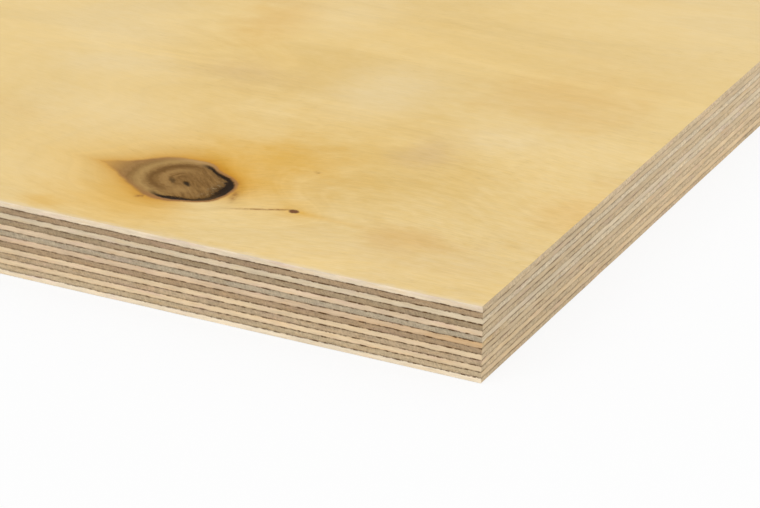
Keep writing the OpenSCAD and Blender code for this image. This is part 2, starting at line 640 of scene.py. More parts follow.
def make_groups():
    """Builds the effects that the materials share."""
    shared_group("Birch figure", figure_group, ("Place", "Rise", "Seed"))
    shared_group("Sound knot", knot_group, ("Place", "Centre"))
    shared_group("Pin knot", pin_knot_group, ("Place", "Centre"))
    shared_group("Stray pins", stray_pins_group, ("Place", "Spacing", "Where"))
    shared_group("Stain", stain_group, ("Place", "Centre", "Half size", "Lines"))
    shared_group("Streak", streak_group, ("Place", "Start", "End", "Bow", "Breadth"))
    shared_group("Sawn edge", sawn_edge_group, (
        "Place", "From glue", "Short end", "End grain", "Long edge tone", "End tone", "Glue", "Glue strength",
        "Seed",
    ))


def cleared(owner):
    """The emptied node tree of a material or world."""
    owner.use_nodes = True
    owner.node_tree.nodes.clear()
    return Nodes(owner.node_tree)


def new_material(name):
    """An empty material, with its nodes and its Principled shader."""
    material = bpy.data.materials.new(name)
    n = cleared(material)
    shader = n.tree.nodes.new("ShaderNodeBsdfPrincipled")
    output = n.tree.nodes.new("ShaderNodeOutputMaterial")
    n.tree.links.new(shader.outputs[0], output.inputs[0])
    return material, n, shader


def finish_shader(n, shader, colour, roughness, height, distance, gloss):
    """Feeds a shader its colour, its roughness and the bump of a height that reaches over a distance in
    metres, and sets its gloss."""
    n.feed(shader.inputs["Base Color"], colour)
    n.feed(shader.inputs["Roughness"], roughness)
    n.feed(shader.inputs["Normal"], n.add("Bump", {"Height": height, "Distance": distance, "Strength": 1.0}))
    shader.inputs["Specular IOR Level"].default_value = gloss


def from_corner(from_end, from_edge):
    """A place on the face in millimetres, from its distances to the right end and the front edge."""
    return (CORNER.x * PER_M - from_end, CORNER.y * PER_M + from_edge, 0.0)


def away_from_corner(n, place, start, end):
    """0 nearer to the photographed corner than start, and 1 past end, in millimetres."""
    return n.ramp(n.measure("DISTANCE", place, from_corner(0.0, 0.0)), start, end)


# Away from the corner the short ends are painted paler, as painted light, and the glue lines grow weaker. Both
# strengths of the glue and their losses are those of the long edges and of the short ends.
EDGE_LIGHT_AND_GLUE_FADE = (20.0, 130.0)
END_PAINTED_LIGHT = 0.10
GLUE_STRENGTH = (0.95, 0.58)
GLUE_LOSS = (0.35, 0.60)
EDGE_BUMP = 0.00006
EDGE_GLOSS = 0.12

# The veneer that resin stains at the corner, the stain's half size and its change of tone
STAINED_VENEER = 6
VENEER_STAIN = (24.0, 18.0, 1.0)
STAIN_TINT = (0.93, 0.80, 0.60)


def sawn_edge(index, node, settings):
    """The edge material of one veneer, with its own tones."""
    material, n, shader = new_material("sawn_" + node)
    place = n.place()
    short_end = n.attribute("short_end")
    # worn grows from 0 near the corner to 1 far off: it paints the short ends paler as painted light, and
    # weakens the glue lines
    worn = away_from_corner(n, place, *EDGE_LIGHT_AND_GLUE_FADE)
    glue_left = 1.0 - worn * n.between(short_end, *GLUE_LOSS)
    edge = n.group("Sawn edge", {
        "Place": place,
        "From glue": n.attribute("from_glue"),
        "Short end": short_end,
        "End grain": 1.0 - short_end if node.startswith("cross") else short_end,
        "Long edge tone": LONG_EDGE_TONES[index % len(LONG_EDGE_TONES)],
        # Painted light: the short ends' tone is made paler away from the corner
        "End tone": n.scaled(SHORT_END_TONES[index % len(SHORT_END_TONES)], 1.0 + worn * END_PAINTED_LIGHT),
        "Glue": settings.glue,
        "Glue strength": n.between(short_end, *GLUE_STRENGTH) * glue_left,
        "Seed": 31.0 * index,
    })
    colour = edge["Colour"]
    if index == STAINED_VENEER:
        centre = from_corner(0.0, 0.0)
        stain = n.group("Stain", {"Place": place, "Centre": centre, "Half size": VENEER_STAIN, "Lines": 0.0})
        colour = n.mix(stain["Mask"] * 0.75, colour, n.vector("MULTIPLY", colour, STAIN_TINT))
    finish_shader(n, shader, colour, edge["Roughness"], edge["Height"], EDGE_BUMP, EDGE_GLOSS)
    return material


# Waves of the glue film's clouds to a millimetre
FILM_WAVES = 0.006


def glue_film():
    """The brown film of glue on the hidden faces of the veneers, in soft clouds. All the pieces share it."""
    if "glue_film" in bpy.data.materials:
        return bpy.data.materials["glue_film"]
    material, n, shader = new_material("glue_film")
    clouds = n.noise(n.place(), FILM_WAVES)
    n.feed(shader.inputs["Base Color"], n.mix(n.ramp(clouds, 0.3, 0.7), FILM_DARK, FILM_LIGHT))
    n.feed(shader.inputs["Roughness"], 0.5 + clouds * 0.2)
    return material


# Stains of the face: tint, strength, place from the right end and the front edge, and half size, in
# millimetres
FACE_STAINS = (
    ("gold", 0.80, (106.0, 104.0), (32.0, 34.0)),
    ("gold", 1.00, (56.0, 62.0), (32.0, 26.0)),
    ("gold", 0.35, (55.0, 140.0), (40.0, 24.0)),
    ("amber", 0.40, (74.0, 50.0), (16.0, 13.0)),
    ("amber", 0.28, (99.0, 11.0), (15.0, 8.0)),
    ("amber", 0.30, (111.0, 5.0), (5.0, 3.0)),
    ("rust", 0.45, (118.0, 131.0), (10.0, 17.0)),
    ("rust", 0.38, (31.0, 117.0), (17.0, 17.0)),
    ("rust", 0.55, (28.0, 24.0), (10.0, 6.0)),
    ("rust", 0.50, (2.0, 55.0), (9.0, 15.0)),
    ("smoke", 0.55, (47.0, 71.0), (7.0, 11.0)),
    ("smoke", 0.40, (110.0, 96.0), (12.0, 9.0)),
    ("milk", 0.80, (73.0, 99.0), (10.0, 17.0)),
    ("milk", 0.70, (138.0, 86.0), (16.0, 10.0)),
    ("milk", 0.55, (150.0, 108.0), (18.0, 18.0)),
    ("milk", 0.55, (104.0, 142.0), (11.0, 17.0)),
    ("milk", 0.60, (125.0, 56.0), (18.0, 14.0)),
    ("milk", 0.70, (35.0, 85.0), (10.0, 9.0)),
    ("smoke", 0.25, (22.0, 14.0), (24.0, 13.0)),
    ("milk", 0.55, (14.0, 188.0), (30.0, 32.0)),
)

# Fine brown lines of the face: strength, breadth, bow, and both ends from the right end and the front edge
FACE_LINES = (
    (0.95, 0.42, 0.2, (59.2, 26.8), (75.5, 19.5)),
    (0.75, 0.80, 0.0, (75.6, 30.4), (73.4, 22.4)),
    (0.95, 0.60, 0.0, (92.6, 17.8), (95.2, 16.8)),
    (0.40, 0.60, 0.0, (63.6, 47.8), (65.6, 48.8)),
)

# A hill in the growth rings at the right end, whose contours the knife has cut: its place, radius and height
HILL = from_corner(0.0, 52.0)
HILL_RADIUS = 34.0
HILL_HEIGHT = 0.9

# Distances from the corner over which its own marks give way to the rest of the face, and over which grain
# weakens
ELSEWHERE = (170.0, 290.0)
GRAIN_WEAR = (40.0, 150.0)
GRAIN_LOSS = 0.55

# Strength of the figure's lines at the corner, elsewhere and on the back, and of the back's grain
CORNER_LINES = 0.26
BACK_LINES = 0.36
BACK_GRAIN = 0.6

# Seeds of the two faces, the spacing of their stray pin knots, and how deep marks lie in the bump
FACE_SEED = 2.0
BACK_SEED = 61.0
FACE_PIN_SPACING = (230.0, 190.0, 1.0)
BACK_PIN_SPACING = (170.0, 150.0, 1.0)
MARK_DEPTH = 2.5
FACE_BUMP = 0.00004
FACE_GLOSS = 0.07

# How much red, green and blue lose by the flecks, the distances in millimetres from a long edge at which
# torn fibres begin and would cover everything, and the largest share of the colour that they take
FLECK_LOSS = (0.11, 0.19, 0.52)
TORN_BREADTH = (2.3, -1.2)
TORN_SHARE = 0.9


def flat_place(n):
    """The place on a face, with its height left out."""
    x, y, _ = n.split(n.place())
    return n.joined(x, y, 0.0)


def birch_colour(n, figure, strength, settings):
    """The colour of the broad parts of sanded birch's figure, at a strength."""
    colour = n.mix(figure["Cloud"] * strength, settings.straw, settings.gold)
    colour = n.mix(figure["Wisps"] * strength * 0.6, colour, settings.milk)
    return n.mix(figure["Rust"] * strength * 0.5, colour, settings.rust)


def lined(n, figure, lines, grain, colour):
    """Darkens and lightens a face's colour by the lines, fibre and pores of its figure, and makes it more
    or less yellow by its flecks, at the strengths given for the lines and for the finer grain."""
    fine = 1.0 + figure["Lines"] * lines + (figure["Fibre"] * 0.22 - figure["Pores"] * 0.10) * grain
    flecks = figure["Flecks"] * grain
    return n.vector("MULTIPLY", colour, n.joined(*(fine - flecks * loss for loss in FLECK_LOSS)))


def finish_sanded(n, shader, place, colour, figure, marks, settings):
    """Finishes a sanded face: torn pale fibres along its long arrises, and a sheen and a bump that the
    fibres, pores and sunken marks break up."""
    _, y, _ = n.split(place)
    fibre = figure["Fibre"]
    pores = figure["Pores"]
    from_edge = CAD_HIGH.y * PER_M - n.math("ABSOLUTE", y) + fibre * 2.4 + figure["Flecks"] * 2.0
    colour = n.mix(n.ramp(from_edge, *TORN_BREADTH) * TORN_SHARE, colour, settings.cream)
    height = fibre * 0.35 - pores * 0.5 - marks * MARK_DEPTH
    finish_shader(n, shader, colour, 0.72 + pores * 0.12 + fibre * 0.15, height, FACE_BUMP, FACE_GLOSS)


def stray_pins(n, place, colour, where, spacing, settings):
    """Strews pin knots over a face, and gives its new colour and where they are."""
    pins = n.group("Stray pins", {"Place": place, "Spacing": spacing, "Where": where})
    colour = n.mix(pins["Bleed"] * 0.4, colour, settings.amber)
    return n.mix(pins["Inside"], colour, PIN_BROWN), pins["Inside"]


def sanded_face(settings):
    """The upper face's material: birch figure with the large knot, the pin knot, the stains and fine
    lines."""
    material, n, shader = new_material("sanded_face")
    place = flat_place(n)
    elsewhere = away_from_corner(n, place, *ELSEWHERE)
    knot_centre = from_corner(settings.knot_from_end * PER_M, settings.knot_from_edge * PER_M)
    pin_centre = from_corner(settings.pin_from_end * PER_M, settings.pin_from_edge * PER_M)
    knot = n.group("Sound knot", {"Place": place, "Centre": knot_centre})
    pin = n.group("Pin knot", {"Place": place, "Centre": pin_centre})
    rise = knot["Rise"] + pin["Rise"] + n.bell(n.measure("DISTANCE", place, HILL), HILL_RADIUS) * HILL_HEIGHT
    figure = n.group("Birch figure", {"Place": place, "Rise": rise, "Seed": FACE_SEED})
    colour = birch_colour(n, figure, 0.4 + elsewhere * 0.6, settings)
    for tint, strength, centre, half_size in FACE_STAINS:
        stain = n.group("Stain", {
            "Place": place,
            "Centre": from_corner(*centre),
            "Half size": (*half_size, 1.0),
            "Lines": figure["Lines"],
        })
        colour = n.mix(stain["Mask"] * strength, colour, getattr(settings, tint))
    colour = n.mix(knot["Bleed"] * 0.95 + pin["Bleed"] * 0.4, colour, settings.amber)
    colour = n.mix(knot["Scorch"] * 0.75, colour, KNOT_TONES["scorch"])
    lines = CORNER_LINES + elsewhere * (BACK_LINES - CORNER_LINES)
    colour = lined(n, figure, lines, 1.0 - away_from_corner(n, place, *GRAIN_WEAR) * GRAIN_LOSS, colour)
    for strength, breadth, bow, start, end in FACE_LINES:
        line = n.group("Streak", {
            "Place": place,
            "Start": from_corner(*start),
            "End": from_corner(*end),
            "Bow": bow,
            "Breadth": breadth,
        })
        colour = n.mix(line["Mask"] * strength, colour, LINE_BROWN)
    colour, strays = stray_pins(n, place, colour, elsewhere, FACE_PIN_SPACING, settings)
    colour = n.mix(pin["Inside"], colour, PIN_BROWN)
    colour = n.mix(knot["Inside"], colour, knot["Colour"])
    finish_sanded(n, shader, place, colour, figure, knot["Pit"] + strays, settings)
    return material


def sanded_back(settings):
    """The lower face's material: the same birch, from another sheet of veneer, with pin knots only."""
    material, n, shader = new_material("sanded_back")
    place = flat_place(n)
    figure = n.group("Birch figure", {"Place": place, "Rise": 0.0, "Seed": BACK_SEED})
    colour = lined(n, figure, BACK_LINES, BACK_GRAIN, birch_colour(n, figure, 1.0, settings))
    colour, strays = stray_pins(n, place, colour, 1.0, BACK_PIN_SPACING, settings)
    finish_sanded(n, shader, place, colour, figure, strays, settings)
    return material


def spaced(start, end, step):
    """Even places after start, up to end, about a step apart."""
    count = max(1, round((end - start) / step))
    return np.linspace(start, end, count + 1)[1:]


def graded(low, high, zones, coarse):
    """Places from low to high: inside each zone (start, end, step) a step apart, and coarsely spaced
    elsewhere."""
    places = [np.array([low])]
    for start, end, step in zones:
        if start > places[-1][-1]:
            places.append(spaced(places[-1][-1], start, coarse))
        places.append(spaced(places[-1][-1], end, step))
    if high > places[-1][-1]:
        places.append(spaced(places[-1][-1], high, coarse))
    return np.concatenate(places)


def ripple(run, wavelength, seed, count=7):
    """Uneven waves between about -1 and 1: a sum of cosines with random phases and wavelengths near the
    given."""
    draw = np.random.default_rng(seed)
    lengths = wavelength * draw.uniform(0.5, 1.9, count)
    phases = draw.uniform(0, 2 * np.pi, count)
    waves = np.cos(2 * np.pi * run[..., None] / lengths + phases)
    return waves.sum(-1) / np.sqrt(count)


class Outline:
    """The sheet's outline as a closed path, anticlockwise from the front left corner, through the places xs
    along the front and back edges and ys along the ends. Outward points away from the sheet, and at a
    corner it is the sum of both sides' directions, so that one inset there moves both sides."""

    def __init__(self, xs, ys):
        last_x = len(xs) - 1
        last_y = len(ys) - 1
        along = np.arange(len(xs))
        inner = np.arange(1, last_y)
        self.column = np.concatenate([along, last_x + 0 * inner, along[::-1], 0 * inner])
        self.row = np.concatenate([0 * along, inner, last_y + 0 * along, inner[::-1]])
        self.x = xs[self.column]
        self.y = ys[self.row]
        self.out_x = (self.column == last_x) * 1.0 - (self.column == 0)
        self.out_y = (self.row == last_y) * 1.0 - (self.row == 0)
        step = np.hypot(np.diff(self.x, append=self.x[0]), np.diff(self.y, append=self.y[0]))
        self.run = np.concatenate([[0.0], np.cumsum(step)[:-1]])
        self.length = step.sum()
        self.corner = xs[-1] - xs[0]
        following = np.roll(self.column, -1)
        self.on_end = (self.column == following) & ((self.column == 0) | (self.column == last_x))

    def level(self, value):
        """The same value all the way round."""
        return np.full(len(self.run), value)

    def rows(self, insets, heights):
        """Rings of points: the outline moved inwards by each row of insets, at each row of heights."""
        insets = np.array(insets)
        x = self.x - self.out_x * insets
        y = self.y - self.out_y * insets
        return np.stack([x, y, np.array(heights)], -1)


def walls(rings):
    """Quads between rings of point numbers, from the lowest ring to the highest, facing away from the
    sheet."""
    low, high = rings[:-1], rings[1:]
    return np.stack([low, np.roll(low, -1, 1), np.roll(high, -1, 1), high], -1).reshape(-1, 4)


def corners_of_cells(grid):
    """The values at the four corners of each cell of a grid, anticlockwise."""
    cells = np.stack([grid[:-1, :-1], grid[1:, :-1], grid[1:, 1:], grid[:-1, 1:]], 2)
    return cells.reshape(-1, *cells.shape[2:])


def grid_quads(columns, rows, first):
    """Quads of a grid whose points are numbered from first, column by column, facing up."""
    return corners_of_cells(first + np.arange(columns * rows).reshape(columns, rows))


# Bake maps, from 0 to 1 each way: their name, the empty share at both sides of a strip, how many strips an
# inner or outer veneer's edge is cut into and the heights that they fill, and the rectangles of the hidden
# flat faces
BAKE_MAP = "OFBake"
STRIP_GAP = 0.08
INNER_STRIPS = (28, 0.01, 0.96)
OUTER_STRIPS = (12, 0.01, 0.27)
INNER_CAPS = (((0.01, 0.97), (0.49, 0.99)), ((0.51, 0.97), (0.99, 0.99)))
OUTER_CAP = ((0.01, 0.28), (0.99, 0.30))

# The photographed corner, out to this many metres from it, takes a larger share of the maps: how many times
# longer its edges are drawn, the sides of a sanded face on its map, and the places of the corner's inner
# sides there
CLOSE_UP = 0.2
CLOSE_UP_GAIN = 4
FACE_ACROSS = (0.005, 0.995)
FACE_UPWARD = (0.32, 0.995)
CLOSE_UP_SIDES = (0.45, 0.71)


def drawn_out(outline, run):
    """Places along the run round the sheet, with the part near the photographed corner drawn out."""
    into = np.clip(run - outline.corner + CLOSE_UP, 0.0, 2 * CLOSE_UP)
    return run + into * (CLOSE_UP_GAIN - 1)


def strip_chart(outline, shares, strips, low, high):
    """Places of an edge's quads on the bake map: the way round the sheet is cut into strips, which lie
    above each other from height low to high, and the profile's shares, from 0 to 1, go up each strip."""
    start = drawn_out(outline, outline.run)
    end = drawn_out(outline, np.append(outline.run[1:], outline.length))
    span = end[-1] / strips
    strip = np.minimum(start // span, strips - 1)
    room = span + np.max(end - start)
    left = (start - strip * span) / room
    right = (end - strip * span) / room
    level = low + (high - low) / strips * (strip + STRIP_GAP + (1 - 2 * STRIP_GAP) * shares[:, None])
    heights = np.stack([level[:-1], level[:-1], level[1:], level[1:]], -1)
    sides = np.broadcast_to(np.stack([left, right, right, left], -1), heights.shape)
    return np.stack([sides, heights], -1).reshape(-1, 4, 2)


def cap_chart(points, low, high):
    """Places of a hidden flat face's corners on the bake map, over the rectangle from low to high."""
    share = (points[:, :2] - points[:, :2].min(0)) / np.ptp(points[:, :2], axis=0)
    return (np.array(low) + share * np.subtract(high, low))[None]


def face_chart(xs, ys, breaks_x, breaks_y):
    """Places of a sanded face's quads on the bake map. Each way the breaks pair places on the sheet with
    places on the map, so that part of the face can take a larger share of the map."""
    across = np.interp(xs, *breaks_x)
    upward = np.interp(ys, *breaks_y)
    return corners_of_cells(np.stack(np.meshgrid(across, upward, indexing="ij"), -1))


SHARP_EDGE = math.radians(30)


def add_piece(node, materials, points, parts, from_glue):
    """Puts whole arrays into a mesh, as the piece that stands for a node. Each part is its faces, their
    places on the bake map, the number of their material, and which of them lie on the sheet's short
    ends."""
    faces, charts, numbers, ends = zip(*parts)
    counts = [len(part) for part in faces]
    corners = np.concatenate([part.ravel() for part in faces])
    sizes = np.repeat([part.shape[1] for part in faces], counts)
    short_end = np.concatenate([np.broadcast_to(flags, count) for flags, count in zip(ends, counts)])
    chart = np.concatenate([part.ravel() for part in charts])
    mesh = bpy.data.meshes.new(node + "_veneer_mesh")
    mesh.vertices.add(len(points))
    mesh.vertices.foreach_set("co", points.astype(np.float32).ravel())
    mesh.loops.add(len(corners))
    mesh.loops.foreach_set("vertex_index", corners.astype(np.int32))
    mesh.polygons.add(len(sizes))
    mesh.polygons.foreach_set("loop_start", (np.cumsum(sizes) - sizes).astype(np.int32))
    mesh.polygons.foreach_set("material_index", np.repeat(numbers, counts).astype(np.int32))
    for material in materials:
        mesh.materials.append(material)
    for name, domain, data in (("from_glue", "POINT", from_glue), ("short_end", "FACE", short_end)):
        mesh.attributes.new(name, "FLOAT", domain).data.foreach_set("value", data.astype(np.float32))
    mesh.uv_layers.new(name=BAKE_MAP).data.foreach_set("uv", chart.astype(np.float32))
    mesh.update(calc_edges=True)
    if mesh.validate():
        raise RuntimeError(f"the mesh of {node} had faults")
    mesh.set_sharp_from_angle(angle=SHARP_EDGE)
    piece = bpy.data.objects.new(node + "_dressed", mesh)
    bpy.context.scene.collection.objects.link(piece)
    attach(piece, "root")
    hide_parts(node)


# How closely the edges are sampled, near the photographed corner and elsewhere, and how far in the glued
# faces start
NEAR_REACH = (0.135, 0.175)
NEAR_STEP = 0.0006
FAR_STEP = 0.004
CAP_MARGIN = 0.004

# Wavelengths of the glue lines' stray, of the saw's unevenness and of the arris, the share by which the
# arris wanders, and the breadth of a glue groove
GLUE_WAVES = (0.024, 0.005)
SAW_WAVE = 0.009
ARRIS_WAVE = 0.012
ARRIS_STRAY = 0.12
GROOVE_BREADTH = 0.00011


def glue_level(run, boundary, settings):
    """How far the glue line under a veneer strays from its level, along the run round the sheet."""
    long_wave, short_wave = GLUE_WAVES
    stray = 0.6 * ripple(run, long_wave, 100 + boundary) + 0.6 * ripple(run, short_wave, 200 + boundary)
    return settings.wave * stray


def recess(outline, share, thickness, index, settings, glued):
    """How far a sawn edge lies inside the outline, at a share of the veneer's thickness: the saw's
    unevenness, and a groove at each glued side, which falls off as a bell curve of the distance to it."""
    uneven = settings.rough * (1.2 + ripple(outline.run + 0.002 * share, SAW_WAVE, 300 + index))
    groove = sum(np.exp(-((abs(share - side) * thickness / GROOVE_BREADTH) ** 2)) for side in glued)
    return np.maximum(uneven, 0.0) + settings.groove * groove


# Profile of an inner veneer's edge, as shares of its thickness, and the profile's levels on a strip of the
# bake map
INNER_SHARES = np.array([0.0, 0.07, 0.2, 0.5, 0.8, 0.93, 1.0])
INNER_LEVELS = 0.05 + 0.9 * INNER_SHARES


def inner_veneer(index, settings):
    """One inner veneer: its sawn edge is a profile of shares of the thickness carried round the outline,
    between glue lines that wander a little, and its two glued faces are flat."""
    node = STACK[index]
    low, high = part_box(node)
    xs = graded(CAD_LOW.x, CAD_HIGH.x, [(CAD_HIGH.x - NEAR_REACH[0], CAD_HIGH.x, NEAR_STEP)], FAR_STEP)
    ys = graded(CAD_LOW.y, CAD_HIGH.y, [(CAD_LOW.y, CAD_LOW.y + NEAR_REACH[1], NEAR_STEP)], FAR_STEP)
    outline = Outline(xs, ys)
    thickness = high.z - low.z
    bottom = low.z + glue_level(outline.run, index, settings)
    top = high.z + glue_level(outline.run, index - 1, settings)
    margin = outline.level(CAP_MARGIN)
    insets = [recess(outline, share, thickness, index, settings, (0.0, 1.0)) for share in INNER_SHARES]
    heights = [bottom + (top - bottom) * share for share in INNER_SHARES]
    rows = outline.rows([margin, *insets, margin], [outline.level(low.z), *heights, outline.level(high.z)])
    points = rows.reshape(-1, 3)
    rings = np.arange(len(points)).reshape(rows.shape[:2])
    shares = np.concatenate([[0.0], INNER_LEVELS, [1.0]])
    short_ends = np.tile(outline.on_end, len(rings) - 1)
    upper_cap = rings[-1]
    lower_cap = rings[0][::-1]
    parts = [
        (walls(rings), strip_chart(outline, shares, *INNER_STRIPS), 0, short_ends),
        (upper_cap[None], cap_chart(points[upper_cap], *INNER_CAPS[0]), 1, 0),
        (lower_cap[None], cap_chart(points[lower_cap], *INNER_CAPS[1]), 1, 0),
    ]
    glue_gap = np.minimum(INNER_SHARES, 1 - INNER_SHARES) * thickness * PER_M
    from_glue = np.repeat(np.concatenate([[0.0], glue_gap, [0.0]]), len(outline.run))
    add_piece(node, [sawn_edge(index, node, settings), glue_film()], points, parts, from_glue)


# Sampling of the outer veneers: the face's grid is fine over the knot, with this much room at its left and
# right and at its front and back, and the edge's profile goes up to the arris and round it
FACE_FAR_STEP = 0.008
KNOT_STEP = 0.0004
KNOT_ROOM = ((0.024, 0.015), (0.014, 0.014))
OUTER_SHARES = np.array([0.0, 0.08, 0.25, 0.6])
ARRIS_TURNS = np.radians([0.0, 22.5, 45.0, 67.5])

# Levels of that profile on a strip of the bake map, for its upright part and for the arris with the face's
# rim
OUTER_LEVELS = 0.06 + 0.64 * OUTER_SHARES
ARRIS_LEVELS = np.linspace(0.70, 1.0, len(ARRIS_TURNS) + 1)

# Depths in millimetres of the crack along the knot's bark and of the dish inside it, and the breadth of the
# crack
CRACK_DEPTH = 0.20
DISH_DEPTH = 0.05
CRACK_BREADTH = 0.9


def knot_relief(x, y, settings):
    """Depth of the knot's bark ring under the sanded face: a bell curve of the depth inside the knot's
    outline about the ring's own, deepest on the right, and of a flat dish inside it."""
    local_x = (x - CORNER.x + settings.knot_from_end) * PER_M
    local_y = (y - CORNER.y - settings.knot_from_edge) * PER_M
    far = np.maximum(np.hypot(local_x, local_y), 0.05)
    inward = knot_core(local_x / far, local_y / far) - far
    right = np.clip(local_x / far + 0.35, 0.0, 1.0)
    crack = np.exp(-((inward - BARK_DEPTH) / CRACK_BREADTH) ** 2) * right
    dish = 1 / (1 + np.exp((BARK_DEPTH - inward) * 2))
    return MM * (CRACK_DEPTH * crack + DISH_DEPTH * dish)


def outer_veneer(index, sanded, settings, zones_x, zones_y, relief, breaks_x, breaks_y):
    """The face or back veneer, first laid with its sanded face up: the edge profile carried round the
    outline, a quarter-round arris, and the sanded face as a grid of heights. The back veneer is the same
    turned over."""
    node = STACK[index]
    low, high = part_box(node)
    xs = graded(CAD_LOW.x, CAD_HIGH.x, zones_x, FACE_FAR_STEP)
    ys = graded(CAD_LOW.y, CAD_HIGH.y, zones_y, FACE_FAR_STEP)
    outline = Outline(xs, ys)
    thickness = high.z - low.z
    upright = index == 0
    glued = glue_level(outline.run, 0, settings) if upright else -glue_level(outline.run, index - 1, settings)
    worn = settings.arris * (1.0 + ARRIS_STRAY * ripple(outline.run, ARRIS_WAVE, 400 + index))
    insets = [outline.level(CAP_MARGIN)]
    heights = [outline.level(0.0)]
    for share in OUTER_SHARES:
        insets.append(recess(outline, share, thickness, index, settings, (0.0,)))
        heights.append(glued + (thickness - worn - glued) * share)
    shoulder = insets[-1]
    for turn in ARRIS_TURNS:
        insets.append(shoulder + worn * (1 - np.cos(turn)))
        heights.append(thickness - worn * (1 - np.sin(turn)))
    sides = outline.rows(insets, heights)

    x, y = np.meshgrid(xs, ys, indexing="ij")
    rim = np.zeros_like(x)
    rim[outline.column, outline.row] = shoulder + worn
    x = x - rim * ((x == xs[-1]) * 1.0 - (x == xs[0]))
    y = y - rim * ((y == ys[-1]) * 1.0 - (y == ys[0]))
    face = np.stack([x, y, thickness - relief(x, y)], -1).reshape(-1, 3)
    first = sides.shape[0] * sides.shape[1]
    rings = np.arange(first).reshape(sides.shape[:2])
    rings = np.concatenate([rings, (first + outline.column * len(ys) + outline.row)[None]])
    points = np.concatenate([sides.reshape(-1, 3), face])

    cap = rings[0][::-1]
    shares = np.concatenate([[0.0], OUTER_LEVELS, ARRIS_LEVELS])
    short_ends = np.tile(outline.on_end, len(rings) - 1)
    parts = [
        (walls(rings), strip_chart(outline, shares, *OUTER_STRIPS), 0, short_ends),
        (grid_quads(len(xs), len(ys), first), face_chart(xs, ys, breaks_x, breaks_y), 1, 0),
        (cap[None], cap_chart(points[cap], *OUTER_CAP), 2, 0),
    ]
    if upright:
        points[:, 2] += low.z
    else:
        points[:, 2] = high.z - points[:, 2]
        parts = [(faces[:, ::-1], chart[:, ::-1], number, flags) for faces, chart, number, flags in parts]
    from_glue = np.concatenate([np.array(heights).ravel(), np.full(len(face), thickness)]) * PER_M
    materials = [sawn_edge(index, node, settings), sanded, glue_film()]
    add_piece(node, materials, points, parts, from_glue)


class PLYWOOD_OT_face_veneer(bpy.types.Operator):
    """Lays the face veneer, with its figure, knots and sawn edges"""

    bl_idname = "plywood.face_veneer"
    bl_label = "Lay face veneer"

    def execute(self, context):
        face = context.scene.plywood_face
        knot_x = CORNER.x - face.knot_from_end
        knot_y = CORNER.y + face.knot_from_edge
        (room_left, room_right), (room_front, room_back) = KNOT_ROOM
        (left, right), (front, back) = FACE_ACROSS, FACE_UPWARD
        close_x, close_y = CLOSE_UP_SIDES
        outer_veneer(0, sanded_face(face), context.scene.plywood_edges,
                     [(knot_x - room_left, knot_x + room_right, KNOT_STEP)],
                     [(knot_y - room_front, knot_y + room_back, KNOT_STEP)],
                     lambda x, y: knot_relief(x, y, face),
                     ([CAD_LOW.x, CORNER.x - CLOSE_UP, CAD_HIGH.x], [left, close_x, right]),
                     ([CAD_LOW.y, CORNER.y + CLOSE_UP, CAD_HIGH.y], [front, close_y, back]))
        return {"FINISHED"}


class PLYWOOD_OT_inner_veneers(bpy.types.Operator):
    """Stacks the inner veneers, with their grain crossed"""

    bl_idname = "plywood.inner_veneers"
    bl_label = "Stack inner veneers"

    def execute(self, context):
        for index in range(1, len(STACK) - 1):
            inner_veneer(index, context.scene.plywood_edges)
        return {"FINISHED"}


class PLYWOOD_OT_back_veneer(bpy.types.Operator):
    """Lays the back veneer under the stack"""

    bl_idname = "plywood.back_veneer"
    bl_label = "Lay back veneer"

    def execute(self, context):
        sanded = sanded_back(context.scene.plywood_face)
        outer_veneer(len(STACK) - 1, sanded, context.scene.plywood_edges, [], [],
                     lambda x, y: np.zeros_like(x),
                     ([CAD_LOW.x, CAD_HIGH.x], FACE_ACROSS),
                     ([CAD_LOW.y, CAD_HIGH.y], FACE_UPWARD))
        return {"FINISHED"}


class PLYWOOD_OT_stage(bpy.types.Operator):
    """Sets the pale floor, the soft light and the camera"""

    bl_idname = "plywood.stage"
    bl_label = "Set stage"

    def execute(self, context):
        scene = context.scene
        stage = scene.plywood_stage
        add_floor(scene)
        add_sky(scene, stage)
        add_lamp(scene, "front_lamp", FRONT_LAMP, stage.front_lamp)
        add_lamp(scene, "end_lamp", END_LAMP, stage.end_lamp)
        add_camera(scene, stage)
        scene.view_settings.view_transform = "Standard"
        return {"FINISHED"}


# The floor's half width and its depth under the sheet, its paleness, how much of its white the camera sees
# near the sheet, and how far from the sheet it starts and ends to fade to plain white
FLOOR_REACH = 12.0
FLOOR_DROP = 0.0001
FLOOR_WHITE = 0.92
FLOOR_GLOW = 0.84
FLOOR_FADE = (1.0, 4.0)
WHITE = (1.0, 1.0, 1.0)

# Places of the lamps from the photographed corner, and their breadth and height
FRONT_LAMP = (-1.4, -3.2, 2.6)
END_LAMP = (3.2, -0.3, 2.0)
LAMP_SIZE = (3.0, 2.4)
SENSOR_WIDTH = 36.0


def seen_directly(n):
    """1 on rays that come straight from the camera or through a mirror or glass, and 0 on light's own
    bounces."""
    path = n.tree.nodes.new("ShaderNodeLightPath")
    rays = [Wire(n, path.outputs[name]) for name in ("Is Camera Ray", "Is Glossy Ray", "Is Transmission Ray")]
    return n.math("MINIMUM", rays[0] + rays[1] + rays[2], 1.0)


